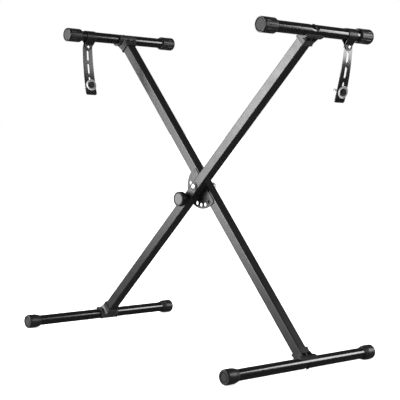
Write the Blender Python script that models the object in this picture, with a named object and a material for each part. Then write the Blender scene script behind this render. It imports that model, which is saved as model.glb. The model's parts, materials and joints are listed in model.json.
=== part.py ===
"""Folding X stand for a keyboard or digital piano.

Two square tubes cross at a pivot bolt. Tube A leans from the upper left to the lower right, and
tube B from the upper right to the lower left, in front of tube A. Each tube carries a round bar
in a moulded saddle at both ends: the upper bars hold the keyboard, the lower bars are the feet.
A half-round lock plate on tube A has a ring of holes, and a sprung pull knob on tube B drops its
pin into one of them. A slotted strap with a thumb screw hangs from each upper bar.

World frame: metres, +Z up, +X to the right, the front of the stand at -Y.
"""
import math

import bmesh
import bpy
from mathutils import Matrix, Vector

# ---------------------------------------------------------------- driving dimensions, metres
GAP = 0.0003                    # clearance between pieces that touch

TUBE_SIZE = 0.025               # outside of the square tube
TUBE_WALL = 0.0015
TUBE_CORNER = 0.003
LEAN = math.radians(46.15)      # the tubes' angle above the floor
ARM_UP = 0.5026                 # pivot to the axis of an upper bar
ARM_DOWN = 0.5078               # pivot to the axis of a foot bar
TUBE_SHORT = 0.020              # the tube stops this far short of a bar's axis

BAR_RADIUS = 0.0127
BAR_WALL = 0.0015
TOP_BAR_LENGTH = 0.3453         # over its caps
FOOT_BAR_LENGTH = 0.470
TOP_BAR_OFFSET = 0.0158         # a top bar's middle is this far behind tube B's centre

CAP_RADIUS = 0.017
CAP_LENGTHS = {"top": 0.0415, "foot": 0.0345}
CAP_FLOOR = 0.0065              # thickness of a cap's closed end

PLATE_THICK = 0.002
PLATE_RADIUS = 0.0545
PLATE_EDGE = 0.009              # straight edge, beyond tube A's centreline
PLATE_CORNER = 0.007
HOLE_RING = 0.045               # pivot to the lock holes
HOLE_RADIUS = 0.0047
HOLE_STEPS = (-53.5, -21.5, 0.0, 22.75, 41.5, 60.0, 82.2)   # degrees of fold
RIVET_RADIUS = 0.0025
RIVET_PLACES = ((0.003, 0.0475), (0.0, -0.025))             # across and along tube A

BOLT_RADIUS = 0.0038            # bar bolts
BOLT_HEAD = 0.007
PIVOT_RADIUS = 0.0047
PIVOT_HEAD = 0.0074
SLEEVE_RADIUS = 0.0072

PIN_RADIUS = 0.0039
PIN_BORE = 0.0043
BARREL_RADIUS = 0.0065
KNOB_RADIUS = 0.018
SPRING_COIL = 0.0049
SPRING_WIRE = 0.00045
SPRING_TURNS = 4

CLIP_WIDTH = 0.029
CLIP_SHEET = 0.0012
EAR_WIDTH = 0.024               # at the strap's rivet
RIVET_DROP = 0.027              # bar axis to the strap's rivet
STRAP_RIVET = 0.0025            # radius of its shank
STRAP_THICK = 0.002
STRAP_WIDTH = 0.0285            # at the rivet
STRAP_FLARE = 0.0045            # the lower end is wider by this
STRAP_TOP = 0.0132              # rivet to the strap's upper end
STRAP_LENGTH = 0.1255           # rivet to its lower end
STRAP_STRAIGHT = 0.008          # straight below the rivet before the bow
STRAP_BOW = 0.560               # radius of the bow
SLOT_LENGTH = 0.0255
SLOT_RADIUS = 0.003
SLOT_CENTRES = (0.0228, 0.0568, 0.0912)
SCREW_PLACE = 0.1005            # thumb screw, below the rivet
SCREW_RADIUS = 0.0023
SCREW_REACH = 0.023             # the screw's end, behind the strap

# sides of the round shapes
LARGE_SIDES = 24                # bars, knobs and their seats
MEDIUM_SIDES = 16               # caps, bolts, washers and holes for them
SMALL_SIDES = 12                # rivets, screws and small holes

# the two straps: place along Y, lean, side that the bow turns to, and the clip band's shift along Y
STRAPS = {
    "left": {"y": -0.0935, "hang": math.radians(6.0), "side": 1, "clip_shift": 0.0065},
    "right": {"y": 0.1220, "hang": math.radians(3.0), "side": -1, "clip_shift": 0.0},
}

# ---------------------------------------------------------------- worked-out places
TUBE_A_Y = TUBE_SIZE + PLATE_THICK + 2 * GAP
BAR_OFFSET = TUBE_A_Y / 2       # a foot bar's bolt hole is this far off its middle
PIVOT = Vector((0.0, 0.0, ARM_DOWN * math.sin(LEAN) + CAP_RADIUS))
UP_A = Vector((-math.cos(LEAN), 0.0, math.sin(LEAN)))
UP_B = Vector((math.cos(LEAN), 0.0, math.sin(LEAN)))
DEPTH = Vector((0.0, 1.0, 0.0))

# one entry for each bar: tube's Y, direction from the pivot, arm, length, middle's Y
BARS = {
    "top_left": (TUBE_A_Y, UP_A, ARM_UP, TOP_BAR_LENGTH, TOP_BAR_OFFSET),
    "foot_right": (TUBE_A_Y, -UP_A, ARM_DOWN, FOOT_BAR_LENGTH, BAR_OFFSET),
    "top_right": (0.0, UP_B, ARM_UP, TOP_BAR_LENGTH, TOP_BAR_OFFSET),
    "foot_left": (0.0, -UP_B, ARM_DOWN, FOOT_BAR_LENGTH, -BAR_OFFSET),
}
ON_TUBE_B = ("top_right", "foot_left")

FINISHES = {
    "powder_coat": ((0.012, 0.012, 0.013), 0.42, 0.0),
    "gloss_paint": ((0.008, 0.008, 0.009), 0.15, 0.0),
    "rubber": ((0.018, 0.018, 0.019), 0.62, 0.0),
    "plastic": ((0.012, 0.012, 0.013), 0.48, 0.0),
    "zinc": ((0.62, 0.62, 0.63), 0.28, 1.0),
    "clear_plastic": ((0.52, 0.53, 0.54), 0.22, 0.0),
}


# ---------------------------------------------------------------- scene and placing
def clear_scene():
    """Remove every object that is already in the scene."""
    for old in list(bpy.data.objects):
        bpy.data.objects.remove(old, do_unlink=True)


def frame_along(origin, direction):
    """A local frame with +Z along direction and +Y along the stand's depth."""
    z = Vector(direction).normalized()
    x = DEPTH.cross(z)
    columns = (x, DEPTH, z)
    turn = Matrix([[column[row] for column in columns] for row in range(3)]).to_4x4()
    return Matrix.Translation(origin) @ turn


def frame_facing(origin, direction):
    """A local frame with +Z along direction, which is level, and +Y straight up."""
    z = Vector(direction).normalized()
    y = Vector((0.0, 0.0, 1.0))
    columns = (y.cross(z), y, z)
    turn = Matrix([[column[row] for column in columns] for row in range(3)]).to_4x4()
    return Matrix.Translation(origin) @ turn


def world_of(obj):
    """An object's world matrix from the chain of its parents."""
    if obj.parent is None:
        return obj.matrix_basis.copy()
    return world_of(obj.parent) @ obj.matrix_basis


def place(obj, world, parent=None):
    """Put an object at a world matrix, under its parent."""
    obj.parent = parent
    obj.matrix_basis = world_of(parent).inverted() @ world if parent else world


def axis_empty(name, world, parent=None):
    """An empty on a joint's axis; the pieces that move with the joint are its children."""
    empty = bpy.data.objects.new(name, None)
    empty.empty_display_size = 0.03
    bpy.context.scene.collection.objects.link(empty)
    place(empty, world, parent)
    return empty


def add_piece(name, mesh, world, finish, parent=None):
    """Link one named piece with its own material."""
    colour, roughness, metallic = FINISHES[finish]
    material = bpy.data.materials.new(name)
    material.use_nodes = True
    shader = material.node_tree.nodes["Principled BSDF"]
    shader.inputs["Base Color"].default_value = (*colour, 1.0)
    shader.inputs["Roughness"].default_value = roughness
    shader.inputs["Metallic"].default_value = metallic
    obj = bpy.data.objects.new(name, mesh)
    bpy.context.scene.collection.objects.link(obj)
    if not mesh.materials:
        mesh.materials.append(None)
    obj.material_slots[0].link = "OBJECT"
    obj.material_slots[0].material = material
    place(obj, world, parent)
    return obj


# ---------------------------------------------------------------- shapes
def ring(radius, sides, z, flats=False):
    """A regular polygon at height z. With flats, radius is to the middle of each side."""
    phase = math.pi / sides if flats else 0.0
    reach = radius / math.cos(math.pi / sides) if flats else radius
    angles = [phase + 2 * math.pi * i / sides for i in range(sides)]
    return [Vector((reach * math.cos(a), reach * math.sin(a), z)) for a in angles]


def rounded_square(size, corner, z, steps=2):
    """A square outline of the given width with round corners, at height z."""
    half = size / 2 - corner
    points = []
    for quarter, (sx, sy) in enumerate(((1, 1), (-1, 1), (-1, -1), (1, -1))):
        for step in range(steps + 1):
            a = math.pi / 2 * (quarter + step / steps)
            out = corner * Vector((math.cos(a), math.sin(a), 0.0))
            points.append(Vector((sx * half, sy * half, z)) + out)
    return points


def loft(rings, hollow=False):
    """Join rings of equally many points into a closed body; a hollow one has no end faces."""
    bm = bmesh.new()
    loops = [[bm.verts.new(point) for point in one] for one in rings]
    pairs = list(zip(loops, loops[1:]))
    if hollow:
        pairs.append((loops[-1], loops[0]))
    for low, high in pairs:
        count = len(low)
        for i in range(count):
            j = (i + 1) % count
            bm.faces.new((low[i], low[j], high[j], high[i]))
    if not hollow:
        bm.faces.new(loops[0])
        bm.faces.new(loops[-1])
    bmesh.ops.recalc_face_normals(bm, faces=bm.faces)
    return bm


def to_mesh(name, body):
    """A smooth-shaded mesh from a bmesh."""
    mesh = bpy.data.meshes.new(name)
    body.to_mesh(mesh)
    body.free()
    mesh.shade_smooth()
    mesh.set_sharp_from_angle(angle=math.radians(35))
    return mesh


def turned(profile, sides, hollow=False, flats=False):
    """A body turned about Z from (radius, z) pairs; a hollow profile is a closed loop."""
    return loft([ring(radius, sides, z, flats) for radius, z in profile], hollow)


def moved(body, matrix):
    """The same bmesh after a move or a turn."""
    bmesh.ops.transform(body, matrix=matrix, verts=body.verts)
    return body


def prism(outline, low, high):
    """An outline of (x, y) pairs pulled along Z."""
    return loft([[Vector((x, y, z)) for x, y in outline] for z in (low, high)])


def carved(name, base, steps):
    """The base after each ("UNION" or "DIFFERENCE", body) step, as one mesh."""
    link = bpy.context.scene.collection.objects.link
    host = bpy.data.objects.new(name, to_mesh(name, base))
    link(host)
    helpers = []
    for operation, body in steps:
        helper = bpy.data.objects.new(name + "_helper", to_mesh(name, body))
        link(helper)
        helpers.append(helper)
        modifier = host.modifiers.new(operation.lower(), "BOOLEAN")
        modifier.operation = operation
        modifier.solver = "EXACT"
        modifier.object = helper
    graph = bpy.context.evaluated_depsgraph_get()
    mesh = bpy.data.meshes.new_from_object(host.evaluated_get(graph))
    for helper in [host] + helpers:
        bpy.data.objects.remove(helper, do_unlink=True)
    mesh.shade_smooth()
    mesh.set_sharp_from_angle(angle=math.radians(35))
    return mesh


def drill(radius, low, high, matrix=None, sides=SMALL_SIDES):
    """A cutter for a round hole along Z whose flats stand at the radius."""
    body = turned([(radius, low), (radius, high)], sides, flats=True)
    return ("DIFFERENCE", moved(body, matrix) if matrix else body)


ALONG_Y = Matrix.Rotation(math.radians(-90), 4, "X")     # turns +Z to +Y
ALONG_X = Matrix.Rotation(math.radians(90), 4, "Y")      # turns +Z to +X


# ---------------------------------------------------------------- tubes, bars, caps
def tube_mesh(name, holes):
    """A square tube along Z from its lower to its upper end, with holes along Y."""
    low, high = TUBE_SHORT - ARM_DOWN, ARM_UP - TUBE_SHORT
    outer = (TUBE_SIZE, TUBE_CORNER)
    inner = (TUBE_SIZE - 2 * TUBE_WALL, TUBE_CORNER - TUBE_WALL)
    walls = ((outer, low), (outer, high), (inner, high), (inner, low))
    shell = loft([rounded_square(*shape, z) for shape, z in walls], hollow=True)
    cuts = []
    for radius, x, z, y_low, y_high in holes:
        cuts.append(drill(radius, y_low, y_high, Matrix.Translation((x, 0.0, z)) @ ALONG_Y))
    return carved(name, shell, cuts)


def make_tubes(fold):
    """The two crossing tubes and the steel sleeves that the pivot bolt turns in."""
    through = TUBE_SIZE
    bolt_hole = (PIVOT_RADIUS + GAP, 0.0, 0.0, -through, through)
    rivet_holes = [(RIVET_RADIUS + GAP, x, z, -through, 0.0) for x, z in RIVET_PLACES]
    pin_holes = [(BARREL_RADIUS + GAP, 0.0, -HOLE_RING, -through, 0.0),
                 (PIN_BORE, 0.0, -HOLE_RING, 0.0, through)]
    reach = TUBE_SIZE / 2 - TUBE_WALL - GAP                  # half the sleeve's length
    for name, y, up, holes, parent in (
            ("a", TUBE_A_Y, UP_A, [bolt_hole] + rivet_holes, None),
            ("b", 0.0, UP_B, [bolt_hole] + pin_holes, fold)):
        middle = PIVOT + DEPTH * y
        add_piece("tube_" + name, tube_mesh("tube_" + name, holes), frame_along(middle, up),
                  "powder_coat", parent)
        bore = PIVOT_RADIUS + GAP
        sleeve = [(SLEEVE_RADIUS, -reach), (SLEEVE_RADIUS, reach), (bore, reach), (bore, -reach)]
        add_piece("pivot_sleeve_" + name, to_mesh("sleeve", turned(sleeve, MEDIUM_SIDES, hollow=True)),
                  frame_facing(middle, DEPTH), "zinc", parent)


def bar_mesh(length, offset):
    """A round tube along Y with its bolt hole at the local origin."""
    half = length / 2 - CAP_FLOOR - GAP
    inner = BAR_RADIUS - BAR_WALL
    low, high = offset - half, offset + half
    profile = [(BAR_RADIUS, low), (BAR_RADIUS, high), (inner, high), (inner, low)]
    body = moved(turned(profile, LARGE_SIDES, hollow=True), ALONG_Y)
    return carved("bar", body, [drill(BOLT_RADIUS + GAP, -TUBE_SIZE, TUBE_SIZE)])


def cap_mesh(length):
    """An end cap: a cup over the bar's end, with +Z outwards and its outer face at z = 0."""
    bore = BAR_RADIUS + GAP
    shoulder = 0.0035           # chamfer at the inner end
    recess = 0.0012             # depth of the dished end face
    profile = [(bore, -CAP_FLOOR), (bore, -length), (0.0145, -length), (CAP_RADIUS, shoulder - length),
               (CAP_RADIUS, -recess), (0.0160, 0.0), (0.0135, 0.0), (0.0128, -recess)]
    return to_mesh("cap", turned(profile, MEDIUM_SIDES, flats=True))


def make_bars(fold):
    """Four bars, each with two end caps."""
    caps = {level: cap_mesh(length) for level, length in CAP_LENGTHS.items()}
    for place_name, (tube_y, direction, arm, length, middle_y) in BARS.items():
        parent = fold if place_name in ON_TUBE_B else None
        bolt_at = PIVOT + direction * arm + DEPTH * tube_y
        level, side = place_name.split("_")
        name = f"{level}_bar_{side}"
        add_piece(name, bar_mesh(length, middle_y - tube_y), frame_along(bolt_at, direction),
                  "gloss_paint", parent)
        for end, sign in (("near", -1), ("far", 1)):
            tip = Vector((bolt_at.x, middle_y + sign * length / 2, bolt_at.z))
            add_piece(f"cap_{place_name}_{end}", caps[level], frame_facing(tip, DEPTH * sign),
                      "rubber", parent)


# ---------------------------------------------------------------- saddles and bar bolts
SADDLE_LENGTH = 0.052
SADDLE_WALL = 0.0040
COLLAR_START = 0.0197           # floor of the collar's pocket, from the bar's axis
COLLAR_END = 0.032
COLLAR_SIZE = 0.030
PLUG_END = 0.044


def saddle_mesh():
    """A cradle for the bar, a collar over the tube's end and a plug inside the tube, along +Z."""
    bore = BAR_RADIUS + GAP
    outer = bore + SADDLE_WALL
    rest = math.radians(3)      # the cradle stops just short of half round
    steps = LARGE_SIDES // 2
    angles = [rest + (math.pi - 2 * rest) * i / steps for i in range(steps + 1)]
    outline = [(outer * math.cos(a), outer * math.sin(a)) for a in angles]
    outline += [(0.9 * bore * math.cos(a), 0.9 * bore * math.sin(a)) for a in reversed(angles)]
    half = SADDLE_LENGTH / 2
    # an outline in X and Z, pulled along Y
    cradle = moved(prism(outline, -half, half), Matrix.Rotation(math.radians(90), 4, "X"))
    neck = loft([[Vector((sx * w, sy * d, z)) for sx, sy in ((1, 1), (-1, 1), (-1, -1), (1, -1))]
                 for w, d, z in ((0.0135, 0.0215, 0.0095), (0.0147, 0.0147, 0.0215))])
    collar = loft([rounded_square(COLLAR_SIZE, TUBE_CORNER, z) for z in (0.0190, COLLAR_END)])
    past_end = COLLAR_END + 0.001
    pocket = loft([rounded_square(TUBE_SIZE + 2 * GAP, TUBE_CORNER, z) for z in (COLLAR_START, past_end)])
    plug_size = TUBE_SIZE - 2 * TUBE_WALL - 2 * GAP
    plug = loft([rounded_square(plug_size, 0.0015, z) for z in (COLLAR_START - 0.0012, PLUG_END)])
    seat = moved(turned([(bore, -0.040), (bore, 0.040)], LARGE_SIDES, flats=True), ALONG_Y)
    return carved("saddle", cradle, [
        ("UNION", neck), ("UNION", collar), ("DIFFERENCE", pocket), ("UNION", plug),
        ("DIFFERENCE", seat), drill(BOLT_RADIUS + GAP, -0.001, 0.060)])


def bar_bolt_mesh():
    """A dome-headed bolt along +Z from the bar's outer side to past the plug."""
    head = -BAR_RADIUS - GAP
    tip = PLUG_END + 0.0095
    profile = [(0.0020, head - 0.0022), (0.0046, head - 0.0020), (0.0063, head - 0.0012),
               (BOLT_HEAD, head - 0.0004), (BOLT_HEAD, head), (BOLT_RADIUS, head), (BOLT_RADIUS, tip)]
    return to_mesh("bar_bolt", turned(profile, MEDIUM_SIDES))


def nut_mesh(across, bore, height):
    """A hexagon nut standing on z = 0."""
    bore_ring = [ring(bore, SMALL_SIDES, z, flats=True) for z in (0.0, height)]
    blank = loft([ring(across / 2, 6, z, flats=True) for z in (0.0, height)])
    cutter = loft([[Vector((p.x, p.y, p.z * 3 - height)) for p in one] for one in bore_ring])
    return carved("nut", blank, [("DIFFERENCE", cutter)])


def make_joints_of_bars(fold):
    """A saddle, a bolt and a nut where each bar meets its tube."""
    saddle, bolt = saddle_mesh(), bar_bolt_mesh()
    nut = nut_mesh(0.013, BOLT_RADIUS + GAP, 0.0065)
    for name, (tube_y, direction, arm, _, _) in BARS.items():
        parent = fold if name in ON_TUBE_B else None
        inward = frame_along(PIVOT + direction * arm + DEPTH * tube_y, -direction)
        add_piece("saddle_" + name, saddle, inward, "plastic", parent)
        add_piece("bar_bolt_" + name, bolt, inward, "zinc", parent)
        behind_plug = inward @ Matrix.Translation((0, 0, PLUG_END + GAP))
        add_piece("bar_nut_" + name, nut, behind_plug, "zinc", parent)


# ---------------------------------------------------------------- pivot and lock plate
def make_pivot():
    """The bolt that the tubes turn on, with its washers and its nut behind tube A."""
    front = TUBE_SIZE / 2 + GAP
    back = -(TUBE_A_Y + TUBE_SIZE / 2 + GAP)
    seat = front + 0.0010 + GAP
    nut_face = back - 0.0014 - GAP
    nut_height = 0.0090
    facing = frame_facing(PIVOT, -DEPTH)
    profile = [(PIVOT_RADIUS, nut_face - nut_height - 0.0030), (PIVOT_RADIUS, seat), (PIVOT_HEAD, seat),
               (PIVOT_HEAD, seat + 0.0016), (0.0066, seat + 0.0030), (0.0048, seat + 0.0040),
               (0.0022, seat + 0.0045)]
    add_piece("pivot_bolt", to_mesh("pivot_bolt", turned(profile, MEDIUM_SIDES)), facing, "zinc")
    bore = PIVOT_RADIUS + GAP
    for name, radius, low, high, finish in (
            ("pivot_washer_front", 0.0102, front, front + 0.0010, "plastic"),
            ("pivot_washer_back", 0.0100, back - 0.0014, back, "zinc")):
        loop = [(radius, low), (radius, high), (bore, high), (bore, low)]
        add_piece(name, to_mesh(name, turned(loop, MEDIUM_SIDES, hollow=True)), facing, finish)
    nut = nut_mesh(0.016, bore, nut_height)
    add_piece("pivot_nut", nut, facing @ Matrix.Translation((0, 0, nut_face - nut_height)), "zinc")


def curve_corner(start, corner, end, steps=3):
    """Points of a round corner between two edges."""
    points = []
    for i in range(steps + 1):
        t = i / steps
        points.append(tuple((1 - t) ** 2 * s + 2 * t * (1 - t) * c + t * t * e
                            for s, c, e in zip(start, corner, end)))
    return points


def plate_outline():
    """A half disc to the left of tube A, in that tube's frame, as (x, z) pairs."""
    over = math.asin(PLATE_EDGE / PLATE_RADIUS)
    trim = PLATE_CORNER / PLATE_RADIUS
    first, last = trim - over, math.pi + over - trim
    arc = [(-PLATE_RADIUS * math.sin(a), PLATE_RADIUS * math.cos(a))
           for a in (first + (last - first) * i / LARGE_SIDES for i in range(LARGE_SIDES + 1))]
    top = PLATE_RADIUS * math.cos(over)
    upper = curve_corner((PLATE_EDGE, top - PLATE_CORNER), (PLATE_EDGE, top), arc[0])
    lower = curve_corner(arc[-1], (PLATE_EDGE, -top), (PLATE_EDGE, PLATE_CORNER - top))
    return upper + arc[1:-1] + lower


def make_lock_plate():
    """The plate with the lock holes, and the flush rivets that hold it to tube A."""
    front = TUBE_SIZE / 2 + GAP
    tube_frame = frame_along(PIVOT, UP_A)
    lay_flat = Matrix.Rotation(math.radians(90), 4, "X")     # plane XY to XZ, +Z to -Y
    blank = moved(prism(plate_outline(), -front - PLATE_THICK, -front), lay_flat)
    cuts = [drill(PIVOT_RADIUS + GAP, 0.0, 0.03, ALONG_Y)]
    pin_at_rest = math.pi - 2 * (math.pi / 2 - LEAN)         # from tube A's upper arm, towards -X
    for step in HOLE_STEPS:
        a = pin_at_rest + math.radians(step)
        centre = Vector((-HOLE_RING * math.sin(a), 0.0, HOLE_RING * math.cos(a)))
        cuts.append(drill(HOLE_RADIUS, 0.0, 0.03, Matrix.Translation(centre) @ ALONG_Y))
    for x, z in RIVET_PLACES:
        cuts.append(drill(RIVET_RADIUS + GAP, 0.0, 0.03, Matrix.Translation((x, 0, z)) @ ALONG_Y))
    add_piece("lock_plate", carved("lock_plate", blank, cuts), tube_frame, "powder_coat")

    wall = front + PLATE_THICK + GAP + TUBE_WALL + GAP       # inner face of tube A's front wall
    profile = [(RIVET_RADIUS, front + 0.0001), (RIVET_RADIUS, wall), (0.0043, wall),
               (0.0043, wall + 0.0008), (0.0030, wall + 0.0016)]
    rivet = to_mesh("plate_rivet", turned(profile, SMALL_SIDES))
    for end, (x, z) in zip(("upper", "lower"), RIVET_PLACES):
        rivet_at = tube_frame @ Matrix.Translation((x, 0, z)) @ ALONG_Y
        add_piece("plate_rivet_" + end, rivet, rivet_at, "powder_coat")


# ---------------------------------------------------------------- lock plunger
def spring_body(low, high):
    """A coil along Z, as one closed wire with capped ends."""
    steps = SPRING_TURNS * SMALL_SIDES
    climb = high - low - 2 * SPRING_WIRE
    rings = []
    for i in range(steps + 1):
        turn = i / steps
        a = 2 * math.pi * SPRING_TURNS * turn
        out = Vector((math.cos(a), math.sin(a), 0.0))
        centre = out * SPRING_COIL + Vector((0, 0, low + SPRING_WIRE + climb * turn))
        corners = [math.pi / 2 * k for k in range(4)]
        rings.append([centre + SPRING_WIRE * (out * math.cos(c) + Vector((0, 0, math.sin(c))))
                      for c in corners])
    return loft(rings)


def make_plunger(fold):
    """Housing and nut on tube B, and the pin with its knob, shoulder and spring."""
    pin_point = PIVOT - UP_B * HOLE_RING
    facing = frame_facing(pin_point, -DEPTH)                 # local +Z points out of the front
    face = TUBE_SIZE / 2 + GAP
    barrel_end = 0.0030
    flange, flange_top = 0.0130, face + 0.0054
    housing = [(PIN_BORE, barrel_end), (BARREL_RADIUS, barrel_end), (BARREL_RADIUS, face), (flange, face),
               (flange, flange_top - 0.0012), (flange - 0.0010, flange_top), (PIN_BORE, flange_top)]
    housing_mesh = to_mesh("lock_housing", turned(housing, LARGE_SIDES, hollow=True))
    add_piece("lock_housing", housing_mesh, facing, "plastic", fold)
    nut_height = 0.0044
    nut_top = TUBE_SIZE / 2 - TUBE_WALL - GAP
    nut = nut_mesh(0.018, BARREL_RADIUS + GAP, nut_height)
    nut_at = facing @ Matrix.Translation((0, 0, nut_top - nut_height))
    add_piece("lock_housing_nut", nut, nut_at, "zinc", fold)

    slide = axis_empty("lock_pull_axis", facing, fold)
    tip = -TUBE_SIZE / 2
    shoulder = -0.0070
    under = shoulder - 0.0014
    pin = [(PIN_RADIUS - 0.0008, tip), (PIN_RADIUS, tip + 0.0008), (PIN_RADIUS, under), (0.0060, under),
           (0.0060, shoulder), (PIN_RADIUS, shoulder), (PIN_RADIUS, 0.0335)]
    add_piece("lock_pin", to_mesh("lock_pin", turned(pin, MEDIUM_SIDES)), facing, "zinc", slide)
    back = 0.0210
    rim = back + 0.0155
    knob = [(PIN_BORE, 0.0340), (PIN_BORE, back), (0.0125, back), (0.0168, back + 0.0012),
            (KNOB_RADIUS, back + 0.0030), (KNOB_RADIUS, rim - 0.0015), (KNOB_RADIUS - 0.0008, rim),
            (0.0150, rim), (0.0144, rim - 0.0008)]
    add_piece("lock_knob", to_mesh("lock_knob", turned(knob, LARGE_SIDES)), facing, "plastic", slide)
    coil = spring_body(shoulder + GAP, barrel_end - GAP)
    add_piece("lock_spring", to_mesh("lock_spring", coil), facing, "zinc", fold)


# ---------------------------------------------------------------- clips, straps, thumb screws
def clip_path(shift):
    """Middle line of a clip's sheet round the bar, as (x, z, width, middle Y) from ear to ear."""
    band = BAR_RADIUS + GAP + CLIP_SHEET / 2
    ear = STRAP_THICK / 2 + GAP + CLIP_SHEET / 2
    knee = -0.0210
    reach = math.hypot(ear, knee)
    lift = math.atan2(knee, ear) + math.acos(band / reach)   # where the straight flank meets the band
    skew = 0.4 * shift          # the ears' ends follow the band's shift only in part
    side = [(ear, -0.0355, 0.011, skew), (ear, -0.0342, 0.017, skew), (ear, -0.0318, 0.0215, skew),
            (ear, -RIVET_DROP, EAR_WIDTH, skew), (ear, knee, 0.0265, 0.7 * shift)]
    sweep = math.pi / 2 - lift
    steps = 9
    angles = [lift + sweep * i / steps for i in range(steps + 1)]
    arc = [(band * math.cos(a), band * math.sin(a), CLIP_WIDTH, shift) for a in angles]
    right = side + arc
    return right + [(-x, *rest) for x, *rest in reversed(right[:-1])]


def bent_sheet(path, thickness):
    """A sheet along a path of (x, z, width, middle Y), with mitred bends."""
    points = [Vector((x, 0.0, z)) for x, z, _, _ in path]
    rings = []
    for i, (_, _, width, middle) in enumerate(path):
        before = (points[i] - points[i - 1]).normalized() if i else None
        after = (points[i + 1] - points[i]).normalized() if i + 1 < len(points) else None
        along = (before or after) + (after or before)
        along.normalize()
        mitre = 1.0 / max(along.dot(after or before), 0.5)
        out = DEPTH.cross(along) * (thickness / 2 * mitre)
        near, far = (points[i] + DEPTH * (middle + sign * width / 2) for sign in (-1, 1))
        rings.append([near + out, far + out, far - out, near - out])
    return loft(rings)


def strap_point(down):
    """(sideways, below the rivet, angle) on the strap's middle line at a distance below its rivet."""
    bow = max(down - STRAP_STRAIGHT, 0.0) / STRAP_BOW
    straight = min(down, STRAP_STRAIGHT)
    return STRAP_BOW * (1 - math.cos(bow)), straight + STRAP_BOW * math.sin(bow), bow


def strap_half_width(down):
    """Half the strap's width: a round upper end, flaring sides and round lower corners."""
    corner, end_radius = 0.005, 0.0135
    if down < 0:
        return math.sqrt(end_radius ** 2 - down ** 2)
    side = (STRAP_WIDTH + STRAP_FLARE * down / STRAP_LENGTH) / 2
    left = STRAP_LENGTH - down
    if left < corner:
        return side - corner + math.sqrt(corner ** 2 - (corner - left) ** 2)
    return min(end_radius + down / 3, side)


def strap_frame(down, side):
    """Local frame on the strap's middle line: +Z out of its face at +X, +Y along its width."""
    sideways, below, bow = strap_point(down)
    place_at = Matrix.Translation((side * sideways, 0.0, -RIVET_DROP - below))
    return place_at @ Matrix.Rotation(-side * bow, 4, "Y") @ ALONG_X


def strap_mesh(side):
    """The bowed strap with three slots and a rivet hole, hanging from the bar's axis."""
    top = [-STRAP_TOP, -0.0115, -0.0085, -0.0045, 0.0, 0.003]
    middle = [0.008 + (STRAP_LENGTH - 0.013) * i / 14 for i in range(15)]
    end = [STRAP_LENGTH - 0.005 * (1 - math.sin(math.pi / 2 * i / 3)) for i in range(1, 4)]
    rings = []
    for down in top + middle + end:
        half = max(strap_half_width(down), 0.001)
        here = strap_frame(down, side)
        half_thick = STRAP_THICK / 2
        corners = ((-half, -half_thick), (half, -half_thick), (half, half_thick), (-half, half_thick))
        rings.append([here @ Vector((0.0, y, z)) for y, z in corners])
    cuts = [drill(STRAP_RIVET + GAP, -0.01, 0.01, strap_frame(0.0, side))]
    for centre in SLOT_CENTRES:
        reach = SLOT_LENGTH / 2 - SLOT_RADIUS
        half_circle = [math.pi * i / 6 for i in range(7)]
        outline = [(reach + SLOT_RADIUS * math.sin(a), SLOT_RADIUS * math.cos(a)) for a in half_circle]
        outline += [(-x, -y) for x, y in outline]
        cuts.append(("DIFFERENCE", moved(prism(outline, -0.006, 0.006), strap_frame(centre, side))))
    return carved("strap", loft(rings), cuts)


def clip_mesh(shift):
    """The sheet clip round the bar, with a rivet hole through both ears."""
    hole = drill(STRAP_RIVET + GAP, -0.01, 0.01, Matrix.Translation((0, 0, -RIVET_DROP)) @ ALONG_X)
    return carved("clip", bent_sheet(clip_path(shift), CLIP_SHEET), [hole])


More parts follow.
